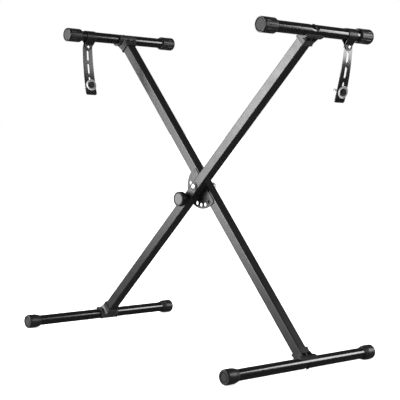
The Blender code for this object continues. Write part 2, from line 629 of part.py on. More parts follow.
def make_strap(which, fold):
    """One clip on its bar, the strap riveted to it, and the thumb screw in the strap's lowest slot."""
    side = STRAPS[which]["side"]
    tube_y, direction, arm, _, _ = BARS["top_" + which]
    bar_axis = PIVOT + direction * arm
    hang = Matrix.Translation((bar_axis.x, STRAPS[which]["y"], bar_axis.z))
    hang = hang @ Matrix.Rotation(-side * STRAPS[which]["hang"], 4, "Y")
    clip_axis = axis_empty(which + "_clip_axis", hang, fold if which == "right" else None)
    clip = clip_mesh(STRAPS[which]["clip_shift"])
    add_piece(which + "_clip", clip, hang, "gloss_paint", clip_axis)
    ear_face = STRAP_THICK / 2 + GAP + CLIP_SHEET + GAP
    head = [(STRAP_RIVET, ear_face), (0.0042, ear_face), (0.0042, ear_face + 0.0008),
            (0.0028, ear_face + 0.0012)]
    rivet = to_mesh("strap_rivet", turned([(r, -z) for r, z in reversed(head)] + head, SMALL_SIDES))
    rivet_at = hang @ Matrix.Translation((0, 0, -RIVET_DROP))
    add_piece(which + "_strap_rivet", rivet, rivet_at @ ALONG_X, "zinc", clip_axis)

    pivot_axis = axis_empty(which + "_strap_axis", rivet_at, clip_axis)
    add_piece(which + "_strap", strap_mesh(side), hang, "gloss_paint", pivot_axis)
    centre = hang @ Matrix.Translation((side * STRAP_BOW, 0, -RIVET_DROP - STRAP_STRAIGHT))
    carriage = axis_empty(which + "_screw_travel_axis", centre, pivot_axis)
    screw_at = hang @ strap_frame(SCREW_PLACE, side)
    face = STRAP_THICK / 2
    bore = SCREW_RADIUS + GAP
    rim, dish = face + 0.0058, face + 0.0020
    cup = [(bore, face + 0.0005), (0.0132, face + 0.0005), (0.0138, face + 0.0014), (0.0142, rim),
           (0.0132, rim), (0.0112, dish), (bore, dish)]
    cup_washer = to_mesh("cup_washer", turned(cup, LARGE_SIDES, hollow=True))
    add_piece(which + "_cup_washer", cup_washer, screw_at, "clear_plastic", carriage)
    low, high = -face - 0.0016, -face - 0.0004
    back = [(0.0062, low), (0.0062, high), (bore, high), (bore, low)]
    back_washer = to_mesh("back_washer", turned(back, SMALL_SIDES, hollow=True))
    add_piece(which + "_back_washer", back_washer, screw_at, "zinc", carriage)
    spin = axis_empty(which + "_screw_axis", screw_at, carriage)
    floor, knob_height, knob_radius = dish + GAP, 0.0048, 0.0085
    top, tip = floor + knob_height, -face - SCREW_REACH
    screw = [(SCREW_RADIUS - 0.0007, tip), (SCREW_RADIUS, tip + 0.0008), (SCREW_RADIUS, top - 0.0018)]
    screw_mesh = to_mesh("thumb_screw", turned(screw, SMALL_SIDES))
    add_piece(which + "_thumb_screw", screw_mesh, screw_at, "zinc", spin)
    knob = [(bore, top - 0.0015), (bore, floor), (knob_radius - 0.0008, floor),
            (knob_radius, floor + 0.0008), (knob_radius, top - 0.0010),
            (knob_radius - 0.0008, top - 0.0002), (0.0030, top)]
    knob_mesh = to_mesh("thumb_knob", turned(knob, MEDIUM_SIDES))
    add_piece(which + "_thumb_knob", knob_mesh, screw_at, "plastic", spin)


def main():
    """Build the whole stand."""
    clear_scene()
    fold = axis_empty("fold_axis", Matrix.Translation(PIVOT))
    make_tubes(fold)
    make_bars(fold)
    make_joints_of_bars(fold)
    make_pivot()
    make_lock_plate()
    make_plunger(fold)
    for which in STRAPS:
        make_strap(which, fold)


main()
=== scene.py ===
"""Looks of the folding X keyboard stand: fine pieces, finishes, studio light and camera.

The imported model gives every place. Each visible CAD node gets a detailed piece that rides on the
same body; the nuts and sleeves inside the tubes stay and only get a finish. Shapes are drawn in
millimetres in a local frame and scaled once, when they become meshes. Places and the camera are in
metres.
"""
import json
import math

import bmesh
import bpy
from mathutils import Matrix, Vector

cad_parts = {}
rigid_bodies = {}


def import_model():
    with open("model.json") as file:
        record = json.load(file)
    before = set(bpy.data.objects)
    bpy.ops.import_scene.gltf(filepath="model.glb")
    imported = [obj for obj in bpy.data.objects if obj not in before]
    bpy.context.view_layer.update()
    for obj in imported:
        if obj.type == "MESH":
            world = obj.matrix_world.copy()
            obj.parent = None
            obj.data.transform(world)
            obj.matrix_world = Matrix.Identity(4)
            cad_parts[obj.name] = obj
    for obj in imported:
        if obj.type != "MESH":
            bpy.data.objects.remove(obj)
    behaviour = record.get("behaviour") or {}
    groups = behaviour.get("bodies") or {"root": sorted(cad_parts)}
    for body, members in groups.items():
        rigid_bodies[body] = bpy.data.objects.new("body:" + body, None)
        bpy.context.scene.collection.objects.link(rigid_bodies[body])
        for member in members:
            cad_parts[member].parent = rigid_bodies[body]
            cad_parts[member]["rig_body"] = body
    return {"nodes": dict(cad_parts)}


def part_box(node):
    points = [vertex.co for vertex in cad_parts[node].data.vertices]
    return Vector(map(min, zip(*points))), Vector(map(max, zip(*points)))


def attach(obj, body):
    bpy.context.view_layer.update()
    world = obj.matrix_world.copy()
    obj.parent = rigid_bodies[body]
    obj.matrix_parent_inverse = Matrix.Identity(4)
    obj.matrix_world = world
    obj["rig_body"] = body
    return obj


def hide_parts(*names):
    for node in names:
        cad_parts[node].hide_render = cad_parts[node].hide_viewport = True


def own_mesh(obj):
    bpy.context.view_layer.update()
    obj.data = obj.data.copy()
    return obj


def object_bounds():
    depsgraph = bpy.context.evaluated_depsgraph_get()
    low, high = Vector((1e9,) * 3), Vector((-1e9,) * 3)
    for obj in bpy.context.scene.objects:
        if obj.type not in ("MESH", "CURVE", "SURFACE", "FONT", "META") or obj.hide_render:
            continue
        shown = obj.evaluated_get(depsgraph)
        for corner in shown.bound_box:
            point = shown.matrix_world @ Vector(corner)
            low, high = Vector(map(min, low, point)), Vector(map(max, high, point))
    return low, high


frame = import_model()
cad_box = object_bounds()

MM = 0.001
GAP = 0.3                       # clearance between touching pieces, mm

# sides of round shapes
FINE = 96
MEDIUM = 48
SMALL = 32
RIBBED = 144
KNOB_SIDES = 216

# ---------------------------------------------------------------- the stand's own sizes, mm
TUBE_SIZE = 25.0
TUBE_WALL = 1.5
TUBE_CORNER = 3.0
TUBE_SHORT = 20.0               # a tube stops this far short of a bar's axis
BAR_RADIUS = 12.7
BAR_WALL = 1.5
CAP_LENGTHS = {"top": 41.5, "foot": 34.5}
CAP_FLOOR = 6.5
BOLT_RADIUS = 3.8
PIVOT_RADIUS = 4.7
PLATE_RADIUS = 54.5
PLATE_EDGE = 9.0
PLATE_CORNER = 7.0
HOLE_RING = 45.0
HOLE_RADIUS = 4.7
HOLE_STEPS = (-53.5, -21.5, 0.0, 22.75, 41.5, 60.0, 82.2)   # degrees of fold
RIVET_RADIUS = 2.5              # the lock plate's rivets
RIVET_PLACES = {"upper": (3.0, 47.5), "lower": (0.0, -25.0)}
PIN_RADIUS = 3.9
PIN_BORE = 4.3
BARREL_RADIUS = 6.5
RIVET_DROP = 27.0               # bar axis to the strap's rivet
CLIP_WIDTH = 29.0
CLIP_SHEET = 1.2
CLIP_SHIFTS = {"left": 6.5, "right": 0.0}    # the band's shift along the bar, against its ears
STRAP_RIVET = 2.5
STRAP_THICK = 2.0
STRAP_WIDTH = 28.5              # at the rivet
STRAP_FLARE = 4.5               # the lower end is wider by this
STRAP_TOP = 13.2
STRAP_LENGTH = 125.5
STRAP_STRAIGHT = 8.0
STRAP_BOW = 560.0
SLOT_LENGTH = 25.5
SLOT_RADIUS = 3.0
SLOT_CENTRES = (22.8, 56.8, 91.2)
SCREW_PLACE = 100.5
SCREW_RADIUS = 2.3
SCREW_REACH = 23.0


# ---------------------------------------------------------------- places, read from the frame
def middle(node):
    """The middle of a CAD node's box."""
    low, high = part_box(node)
    return (low + high) / 2


DEPTH = Vector((0.0, 1.0, 0.0))
TUBE_Y = {letter: middle("tube_" + letter).y for letter in "ab"}
PIVOT = Vector((middle("pivot_bolt").x, TUBE_Y["b"], middle("pivot_bolt").z))
BAR_TUBES = {"top_left": "a", "foot_right": "a", "top_right": "b", "foot_left": "b"}


def bar_node(name):
    """The CAD node of a bar, from its place such as top_left."""
    level, side = name.split("_")
    return f"{level}_bar_{side}"


def direction_of(name):
    """From the pivot to a bar's axis, level with the tubes."""
    axis = middle(bar_node(name))
    return Vector((axis.x - PIVOT.x, 0.0, axis.z - PIVOT.z))


def frame_along(origin, direction):
    """A local frame with +Z along direction and +Y along the stand's depth."""
    z = Vector(direction).normalized()
    columns = (DEPTH.cross(z), DEPTH, z)
    turn = Matrix([[column[row] for column in columns] for row in range(3)]).to_4x4()
    return Matrix.Translation(origin) @ turn


def frame_facing(origin, direction):
    """A local frame with +Z along direction, which is level, and +Y straight up."""
    z = Vector(direction).normalized()
    y = Vector((0.0, 0.0, 1.0))
    columns = (y.cross(z), y, z)
    turn = Matrix([[column[row] for column in columns] for row in range(3)]).to_4x4()
    return Matrix.Translation(origin) @ turn


ALONG_Y = Matrix.Rotation(math.radians(-90), 4, "X")     # turns +Z to +Y
ALONG_X = Matrix.Rotation(math.radians(90), 4, "Y")      # turns +Z to +X
LAY_FLAT = Matrix.Rotation(math.radians(90), 4, "X")     # turns XY to XZ


# ---------------------------------------------------------------- finishes
def surface(name, colours, roughness, grain, metallic=0.0, specular=0.5,
            transmission=0.0, wear=None, patches=35.0):
    """A moulded, painted or plated finish.

    colours and roughness are (low, high) over soft patches; grain is (size of a grain in mm,
    its height in mm); wear is the colour that convex edges fade to.
    """
    material = bpy.data.materials.new(name)
    material.use_nodes = True
    nodes, links = material.node_tree.nodes, material.node_tree.links
    shader = nodes["Principled BSDF"]
    shader.inputs["Metallic"].default_value = metallic
    shader.inputs["Specular IOR Level"].default_value = specular
    shader.inputs["Transmission Weight"].default_value = transmission
    place = nodes.new("ShaderNodeTexCoord")

    soft = nodes.new("ShaderNodeTexNoise")
    soft.inputs["Scale"].default_value = patches
    soft.inputs["Detail"].default_value = 5.0
    soft.inputs["Roughness"].default_value = 0.62
    links.new(place.outputs["Object"], soft.inputs["Vector"])

    tint = nodes.new("ShaderNodeMix")
    tint.data_type = "RGBA"
    tint.inputs["A"].default_value = (*colours[0], 1.0)
    tint.inputs["B"].default_value = (*colours[1], 1.0)
    links.new(soft.outputs["Fac"], tint.inputs["Factor"])
    colour = tint.outputs["Result"]
    if wear:
        edge = nodes.new("ShaderNodeNewGeometry")
        ramp = nodes.new("ShaderNodeMapRange")
        ramp.inputs["From Min"].default_value = 0.53
        ramp.inputs["From Max"].default_value = 0.68
        links.new(edge.outputs["Pointiness"], ramp.inputs["Value"])
        broken = nodes.new("ShaderNodeMath")
        broken.operation = "MULTIPLY"
        links.new(ramp.outputs["Result"], broken.inputs[0])
        links.new(soft.outputs["Fac"], broken.inputs[1])
        worn = nodes.new("ShaderNodeMix")
        worn.data_type = "RGBA"
        worn.inputs["B"].default_value = (*wear, 1.0)
        links.new(broken.outputs["Value"], worn.inputs["Factor"])
        links.new(colour, worn.inputs["A"])
        colour = worn.outputs["Result"]
    links.new(colour, shader.inputs["Base Color"])

    rough = nodes.new("ShaderNodeMapRange")
    rough.inputs["From Min"].default_value = 0.3
    rough.inputs["From Max"].default_value = 0.7
    rough.inputs["To Min"].default_value = roughness[0]
    rough.inputs["To Max"].default_value = roughness[1]
    links.new(soft.outputs["Fac"], rough.inputs["Value"])
    links.new(rough.outputs["Result"], shader.inputs["Roughness"])

    size, height = grain
    fine = nodes.new("ShaderNodeTexNoise")
    fine.inputs["Scale"].default_value = 1.0 / (size * MM)
    fine.inputs["Detail"].default_value = 2.5
    links.new(place.outputs["Object"], fine.inputs["Vector"])
    bump = nodes.new("ShaderNodeBump")
    bump.inputs["Strength"].default_value = 1.0
    bump.inputs["Distance"].default_value = height * MM
    links.new(fine.outputs["Fac"], bump.inputs["Height"])
    links.new(bump.outputs["Normal"], shader.inputs["Normal"])
    return material


def make_finishes():
    """Every finish by name; the first six carry the names of the record's slots."""
    return {
        "powder_coat": surface("powder_coat", ((0.003, 0.003, 0.0032), (0.005, 0.005, 0.0052)),
                               (0.34, 0.42), (1.1, 0.012), specular=0.42, wear=(0.03, 0.03, 0.031)),
        "gloss_paint": surface("gloss_paint", ((0.003, 0.003, 0.0032), (0.005, 0.005, 0.0052)),
                               (0.14, 0.20), (2.2, 0.0025), specular=0.5),
        "rubber": surface("rubber", ((0.004, 0.004, 0.0042), (0.009, 0.009, 0.0092)),
                          (0.32, 0.42), (0.35, 0.016), specular=0.50, wear=(0.06, 0.06, 0.062)),
        "plastic": surface("plastic", ((0.003, 0.003, 0.0032), (0.006, 0.006, 0.0062)),
                           (0.36, 0.48), (0.30, 0.012), specular=0.26, wear=(0.03, 0.03, 0.031)),
        "zinc": surface("zinc", ((0.62, 0.63, 0.65), (0.78, 0.78, 0.79)),
                        (0.26, 0.40), (0.60, 0.006), metallic=0.85),
        "clear_plastic": surface("clear_plastic", ((0.34, 0.35, 0.36), (0.44, 0.45, 0.46)),
                                 (0.22, 0.32), (0.50, 0.006), transmission=0.15),
        "clip_paint": surface("clip_paint", ((0.003, 0.003, 0.0032), (0.005, 0.005, 0.0052)),
                              (0.36, 0.46), (1.4, 0.006), specular=0.34, wear=(0.03, 0.03, 0.031)),
        "grained_grey": surface("grained_grey", ((0.050, 0.050, 0.052), (0.095, 0.095, 0.098)),
                                (0.54, 0.66), (0.40, 0.08), specular=0.32, patches=900.0),
        "cap_grey": surface("cap_grey", ((0.009, 0.009, 0.0093), (0.020, 0.020, 0.0205)),
                            (0.56, 0.68), (0.40, 0.08), specular=0.25, patches=900.0),
        # groove: painted shade, a darker and duller finish laid into the recessed ring grooves of the caps
        # and the knob
        "groove": surface("groove", ((0.002, 0.002, 0.002), (0.004, 0.004, 0.004)),
                          (0.60, 0.75), (0.35, 0.020), specular=0.25),
    }


FINISH = make_finishes()


# ---------------------------------------------------------------- shapes, all in millimetres
def rounded(points, default=0.4, closed=True, steps=3):
    """The same outline with its corners rounded; a third number on a point is its own rounding."""
    result = []
    count = len(points)
    for i, point in enumerate(points):
        here = Vector(point[:2])
        size = point[2] if len(point) > 2 else default
        if not size or (not closed and i in (0, count - 1)):
            result.append(tuple(here))
            continue
        before = Vector(points[i - 1][:2]) - here
        after = Vector(points[(i + 1) % count][:2]) - here
        cut = min(size, 0.45 * before.length, 0.45 * after.length)
        start, end = here + before.normalized() * cut, here + after.normalized() * cut
        for step in range(steps + 1):
            t = step / steps
            result.append(tuple((1 - t) ** 2 * start + 2 * t * (1 - t) * here + t * t * end))
    return result


def loft(rings, closed=False):
    """Join rings of equally many points; a closed one joins its last ring to its first."""
    body = bmesh.new()
    loops = [[body.verts.new(point) for point in one] for one in rings]
    pairs = list(zip(loops, loops[1:]))
    if closed:
        pairs.append((loops[-1], loops[0]))
    for low, high in pairs:
        for i in range(len(low)):
            j = (i + 1) % len(low)
            body.faces.new((low[i], low[j], high[j], high[i]))
    if not closed:
        body.faces.new(loops[0])
        body.faces.new(loops[-1])
    bmesh.ops.recalc_face_normals(body, faces=body.faces)
    return body


def turned(profile, sides=FINE, closed=False, wave=None):
    """A body turned about Z from (radius, z) pairs; wave changes the radius with the angle."""
    rings = []
    for radius, z in profile:
        one = []
        for i in range(sides):
            a = 2 * math.pi * i / sides
            reach = wave(a, radius, z) if wave else radius
            one.append(Vector((reach * math.cos(a), reach * math.sin(a), z)))
        rings.append(one)
    return loft(rings, closed)


def moved(body, matrix):
    """The same body after a move or a turn."""
    bmesh.ops.transform(body, matrix=matrix, verts=body.verts)
    return body


def prism(outline, low, high):
    """An outline of (x, y) pairs pulled along Z."""
    return loft([[Vector((x, y, z)) for x, y in outline] for z in (low, high)])


def square_outline(size, corner, steps=6):
    """A square outline with round corners."""
    half = size / 2 - corner
    points = []
    for quarter, (sx, sy) in enumerate(((1, 1), (-1, 1), (-1, -1), (1, -1))):
        for step in range(steps + 1):
            a = math.pi / 2 * (quarter + step / steps)
            points.append((sx * half + corner * math.cos(a), sy * half + corner * math.sin(a)))
    return points


def cylinder(radius, low, high, sides=SMALL):
    """A plain cutter for a round hole along Z."""
    return turned([(radius, low), (radius, high)], sides)


def carve(base, steps):
    """The base after each ("UNION", "DIFFERENCE" or "INTERSECT", body) step."""
    link = bpy.context.scene.collection.objects.link
    used = []
    for body in [base] + [step[1] for step in steps]:
        mesh = bpy.data.meshes.new("carving")
        body.to_mesh(mesh)
        body.free()
        used.append(bpy.data.objects.new("carving", mesh))
        link(used[-1])
    host = used[0]
    for (operation, _), helper in zip(steps, used[1:]):
        modifier = host.modifiers.new(operation, "BOOLEAN")
        modifier.operation = operation
        modifier.solver = "EXACT"
        modifier.object = helper
    graph = bpy.context.evaluated_depsgraph_get()
    mesh = bpy.data.meshes.new_from_object(host.evaluated_get(graph))
    result = bmesh.new()
    result.from_mesh(mesh)
    bpy.data.meshes.remove(mesh)
    for helper in used:
        bpy.data.objects.remove(helper, do_unlink=True)
    return result


def to_mesh(name, body, *finishes, paint=None):
    """A mesh in metres; paint maps a face's middle in mm to the number of its finish."""
    mesh = bpy.data.meshes.new(name)
    for finish in finishes:
        mesh.materials.append(FINISH[finish])
    for face in body.faces:
        face.smooth = True
        face.material_index = paint(face.calc_center_median()) if paint else 0
    moved(body, Matrix.Scale(MM, 4))
    body.to_mesh(mesh)
    body.free()
    mesh.set_sharp_from_angle(angle=math.radians(40))
    return mesh


def show(node, mesh, world, bevel=0.0):
    """Put a detailed piece in place of a CAD node, on that node's body."""
    piece = bpy.data.objects.new(node + "_fine", mesh)
    bpy.context.scene.collection.objects.link(piece)
    piece.matrix_world = world
    if bevel:
        edges = piece.modifiers.new("edges", "BEVEL")
        edges.width = bevel * MM
        edges.segments = 2
        edges.limit_method = "ANGLE"
        edges.angle_limit = math.radians(38)
        edges.harden_normals = False
    flat = piece.modifiers.new("even_shading", "WEIGHTED_NORMAL")
    flat.keep_sharp = True
    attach(piece, frame["nodes"][node]["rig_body"])
    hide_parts(node)
    return piece


def ease(t):
    """A smooth step from 0 to 1."""
    t = min(max(t, 0.0), 1.0)
    return t * t * (3 - 2 * t)


def grooves(count, depth, share):
    """A wave with round-edged grooves, each taking that share of the spacing."""
    def wave(angle, radius, z):
        t = (angle * count / (2 * math.pi)) % 1.0
        away = min(t, 1.0 - t) / (share / 2)
        return radius - depth * (1.0 - ease(away))
    return wave


def thread(pitch, depth):
    """A wave that climbs by one pitch each turn."""
    def wave(angle, radius, z):
        t = (z / pitch - angle / (2 * math.pi)) % 1.0
        return radius - depth * (1.0 - abs(2.0 * t - 1.0))
    return wave


def threaded(radius, low, high, pitch, depth, sides=24):
    """A threaded rod along Z with a plain chamfer at its lower end."""
    steps = int((high - low) / pitch * 6)
    profile = [(radius, low + (high - low) * i / steps) for i in range(steps + 1)]
    spiral = thread(pitch, depth)

    def wave(angle, reach, z):
        chamfer = ease((z - low) / pitch)
        return spiral(angle, reach, z) - 0.8 * depth * (1 - chamfer)
    return turned(profile, sides, wave=wave)


def hex_nut(across, bore, height):
    """A hexagon nut on z = 0 with its corners turned off at both faces."""
    corner = across / math.sqrt(3)
    points = [(corner * math.cos(math.radians(60 * k + 30)), corner * math.sin(math.radians(60 * k + 30)))
              for k in range(6)]
    inside, outside, rise, lead = across / 2 - 0.3, corner + 0.4, 0.09 * across, 0.7
    turn_off = turned([(inside, -0.01), (outside, rise), (outside, height - rise),
                       (inside, height + 0.01)], FINE)
    hole = turned([(bore + lead, -0.1), (bore, lead), (bore, height - lead),
                   (bore + lead, height + 0.1)], MEDIUM)
    return carve(prism(points, 0.0, height), [("INTERSECT", turn_off), ("DIFFERENCE", hole)])


# ---------------------------------------------------------------- tubes and bars
def make_tubes():
    """The two crossing square tubes, with their real wall, round corners and holes."""
    arms = {letter: {} for letter in "ab"}
    for name, letter in BAR_TUBES.items():
        arms[letter][name.split("_")[0]] = direction_of(name)
    through = TUBE_SIZE
    bolt_hole = (PIVOT_RADIUS + GAP, 0.0, 0.0, -through, through)
    holes = {
        "a": [bolt_hole] + [(RIVET_RADIUS + GAP, x, z, -through, 0.0) for x, z in RIVET_PLACES.values()],
        "b": [bolt_hole, (BARREL_RADIUS + GAP, 0.0, -HOLE_RING, -through, 0.0),
              (PIN_BORE, 0.0, -HOLE_RING, 0.0, through)],
    }
    for letter in "ab":
        up, down = arms[letter]["top"], arms[letter]["foot"]
        low, high = TUBE_SHORT - down.length / MM, up.length / MM - TUBE_SHORT
        outer = square_outline(TUBE_SIZE, TUBE_CORNER)
        inner = square_outline(TUBE_SIZE - 2 * TUBE_WALL, TUBE_CORNER - TUBE_WALL)
        walls = ((outer, low), (outer, high), (inner, high), (inner, low))
        shell = loft([[Vector((x, y, z)) for x, y in outline] for outline, z in walls], closed=True)
        cuts = [("DIFFERENCE", moved(cylinder(radius, y_low, y_high),
                                     Matrix.Translation((x, 0.0, z)) @ ALONG_Y))
                for radius, x, z, y_low, y_high in holes[letter]]
        node = "tube_" + letter
        world = frame_along(Vector((PIVOT.x, TUBE_Y[letter], PIVOT.z)), up)
        show(node, to_mesh(node, carve(shell, cuts), "powder_coat"), world, bevel=0.3)


def bolt_dent(bolt):
    """A wave that presses the bar's outer side in round its bolt head."""
    depth, flat, reach = 1.2, 5.0, 9.0

    def wave(angle, radius, z):
        if radius < BAR_RADIUS - 0.1:
            return radius
        away = math.hypot(z - bolt, BAR_RADIUS * (angle - 1.5 * math.pi))
        return radius - depth * (1.0 - ease((away - flat) / reach))
    return wave


def make_bars():
    """The four glossy round bars."""
    for name, letter in BAR_TUBES.items():
        node = bar_node(name)
        low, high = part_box(node)
        axis = (low + high) / 2
        half = (high.y - low.y) / 2 / MM
        inner = BAR_RADIUS - BAR_WALL
        bolt = (TUBE_Y[letter] - axis.y) / MM
        round_bolt = [(BAR_RADIUS, bolt + step, 0.0) for step in range(-15, 16)]
        profile = rounded([(BAR_RADIUS, -half)] + round_bolt
                          + [(BAR_RADIUS, half), (inner, half), (inner, -half)], 0.3)
        tube = moved(turned(profile, FINE, closed=True, wave=bolt_dent(bolt)), ALONG_Y)
        at_bolt = Matrix.Translation((0.0, (TUBE_Y[letter] - axis.y) / MM, 0.0))
        hole = moved(cylinder(BOLT_RADIUS + GAP, -TUBE_SIZE, TUBE_SIZE), at_bolt)
        mesh = to_mesh(node, carve(tube, [("DIFFERENCE", hole)]), "gloss_paint")
        show(node, mesh, frame_along(axis, direction_of(name)))


# ---------------------------------------------------------------- end caps
def top_cap():
    """A ribbed rubber cap: steep shoulder, flat lands, round rim, ring groove with painted shade and a
    grained disc.
    """
    bore = BAR_RADIUS + GAP
    end = -CAP_LENGTHS["top"]
    profile = rounded([
        (bore, -CAP_FLOOR, 0.0), (bore, end), (14.4, end), (15.2, end + 0.7), (16.6, end + 2.8, 0.8),
        (16.9, end + 4.0), (16.9, end + 8.0, 0.0), (16.9, -24.0, 0.0), (16.9, -14.0, 0.0), (16.9, -5.2),
        (16.3, -4.8), (16.3, -4.0), (17.0, -3.6), (17.0, -1.6, 1.0), (15.8, 0.0, 0.8), (14.6, 0.0),
        (14.3, -2.4), (13.2, -2.4), (12.8, -0.9), (9.6, -0.9, 0.0), (1.0, -0.9, 0.0)], 0.3, closed=False)
    lands = grooves(12, 0.9, 0.18)

    def wave(angle, radius, z):
        if radius < 16.5 or z > -5.1:
            return radius
        window = ease((z - end - 2.6) / 2.0) * ease((-5.0 - z) / 1.5)
        return radius + (lands(angle, radius, z) - radius) * window

    def paint(at):
        reach = math.hypot(at.x, at.y)
        if at.z > -2.5 and reach < 12.9:
            return 1
        # finish 2 paints shade into the ring groove round the grey disc
        return 2 if -2.5 < at.z < -0.5 and 12.9 < reach < 14.5 else 0
    return to_mesh("top_cap", turned(profile, RIBBED, wave=wave), "rubber", "cap_grey", "groove", paint=paint)


def foot_cap():
    """A smoother rubber cap: cone collar, thin groove, slightly full body and rings on its end, with painted
    shade in the groove between them.
    """
    bore = BAR_RADIUS + GAP
    end = -CAP_LENGTHS["foot"]
    profile = rounded([
        (bore, -CAP_FLOOR, 0.0), (bore, end), (14.0, end), (14.5, end + 0.6), (16.4, end + 8.0),
        (16.5, end + 8.6), (15.8, end + 9.0), (15.8, end + 9.6), (16.9, end + 10.2, 0.6),
        (17.0, -16.0, 0.0), (17.0, -11.0, 0.0),
        (17.0, -6.0, 0.0), (16.8, -2.8, 1.0), (16.0, -0.9, 0.8), (15.0, 0.0), (11.4, 0.0), (11.1, -1.3),
        (9.2, -1.3), (8.9, -0.3), (5.0, -0.3, 0.0), (1.0, -0.3, 0.0)], 0.25, closed=False)

    def paint(at):
        reach = math.hypot(at.x, at.y)
        if at.z > -1.4 and (reach < 9.1 or 11.3 < reach < 14.9):
            return 1
        # finish 2 paints shade into the groove between the grey rings on the end
        return 2 if at.z > -1.5 and 9.1 < reach < 11.3 else 0
    return to_mesh("foot_cap", turned(profile, FINE), "rubber", "cap_grey", "groove", paint=paint)


def make_caps():
    """Two caps on each bar."""
    meshes = {"top": top_cap(), "foot": foot_cap()}
    for name in BAR_TUBES:
        axis = middle(bar_node(name))
        for end, sign in (("near", -1), ("far", 1)):
            node = f"cap_{name}_{end}"
            low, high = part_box(node)
            tip = Vector((axis.x, high.y if sign > 0 else low.y, axis.z))
            show(node, meshes[name.split("_")[0]], frame_facing(tip, DEPTH * sign))


# ---------------------------------------------------------------- saddles and bar bolts
SADDLE_HALF = 26.0
COLLAR_START = 19.7
COLLAR_END = 32.0
PLUG_END = 44.0


def saddle():
    """A moulded saddle: cradle with lips, ribbed neck, square collar and the plug in the tube."""
    bore = BAR_RADIUS + GAP
    outer = bore + 4.0
    rest = math.radians(3)
    steps = 40
    angles = [rest + (math.pi - 2 * rest) * i / steps for i in range(steps + 1)]

    def trough(radius, low, high):
        outline = [(radius * math.cos(a), radius * math.sin(a)) for a in angles]
        outline += [(0.8 * bore * math.cos(a), 0.8 * bore * math.sin(a)) for a in reversed(angles)]
        return moved(prism(outline, low, high), LAY_FLAT)

    neck = loft([[Vector((sx * w, sy * d, z)) for sx, sy in ((1, 1), (-1, 1), (-1, -1), (1, -1))]
                 for w, d, z in ((13.3, 21.5, 7.5), (14.2, 15.2, 21.0))])
    recesses = []
    for side in (1, -1):
        for end in (1, -1):
            outline = [(1.6 * end, 18.6), (1.6 * end, 5.0), (19.0 * end, 5.0), (19.0 * end, 9.6),
                       (12.6 * end, 18.6)]
            pocket = prism(outline, 0.0, 9.0)                # in Y and Z, pulled along X
            turn = Matrix(((0, 0, 1, 0), (1, 0, 0, 0), (0, 1, 0, 0), (0, 0, 0, 1)))
            shift = Matrix.Translation((8.6 if side > 0 else -17.6, 0.0, 0.0))
            recesses.append(("DIFFERENCE", moved(pocket, shift @ turn)))
    body = carve(neck, recesses)
    lips = [("UNION", trough(outer + 0.9, end * (SADDLE_HALF - 1.6) - 1.6, end * (SADDLE_HALF - 1.6) + 1.6))
            for end in (1, -1)]
    collar = prism(square_outline(30.0, 3.0), 19.0, COLLAR_END - 1.0)
    flare = prism(square_outline(31.0, 3.2), COLLAR_END - 3.4, COLLAR_END)
    pocket = prism(square_outline(TUBE_SIZE + 2 * GAP, TUBE_CORNER), COLLAR_START, COLLAR_END + 1.0)
    plug = prism(square_outline(TUBE_SIZE - 2 * TUBE_WALL - 2 * GAP, 1.5), COLLAR_START - 1.2, PLUG_END)
    seat = moved(cylinder(bore, -40.0, 40.0, FINE), ALONG_Y)
    body = carve(body, [("UNION", trough(outer, -SADDLE_HALF, SADDLE_HALF))] + lips
                 + [("UNION", collar), ("UNION", flare), ("DIFFERENCE", pocket), ("UNION", plug),
                    ("DIFFERENCE", seat), ("DIFFERENCE", cylinder(BOLT_RADIUS + GAP, -1.0, 60.0))])
    return to_mesh("saddle", body, "plastic")


def bar_bolt():
    """A dome-headed bolt with a dimple, along +Z from the bar's outer side past the plug."""
    head = -BAR_RADIUS - GAP
    profile = rounded([
        (0.4, head - 0.5, 0.0), (1.5, head - 0.6), (2.0, head - 1.1), (3.4, head - 0.9, 0.8),
        (5.2, head - 0.3, 1.0), (6.5, head + 0.3, 0.8), (7.0, head + 0.7), (7.0, head + 1.0),
        (BOLT_RADIUS, head + 1.0),
        (BOLT_RADIUS, PLUG_END + 9.5),
        (0.5, PLUG_END + 9.5, 0.0)], 0.25, closed=False)
    return to_mesh("bar_bolt", turned(profile, MEDIUM), "powder_coat")


def make_saddles():
    """A saddle and a bolt where each bar meets its tube."""
    saddle_mesh, bolt_mesh = saddle(), bar_bolt()
    for name, letter in BAR_TUBES.items():
        axis = middle(bar_node(name))
        inward = frame_along(Vector((axis.x, TUBE_Y[letter], axis.z)), -direction_of(name))
        show("saddle_" + name, saddle_mesh, inward, bevel=0.35)
        show("bar_bolt_" + name, bolt_mesh, inward)


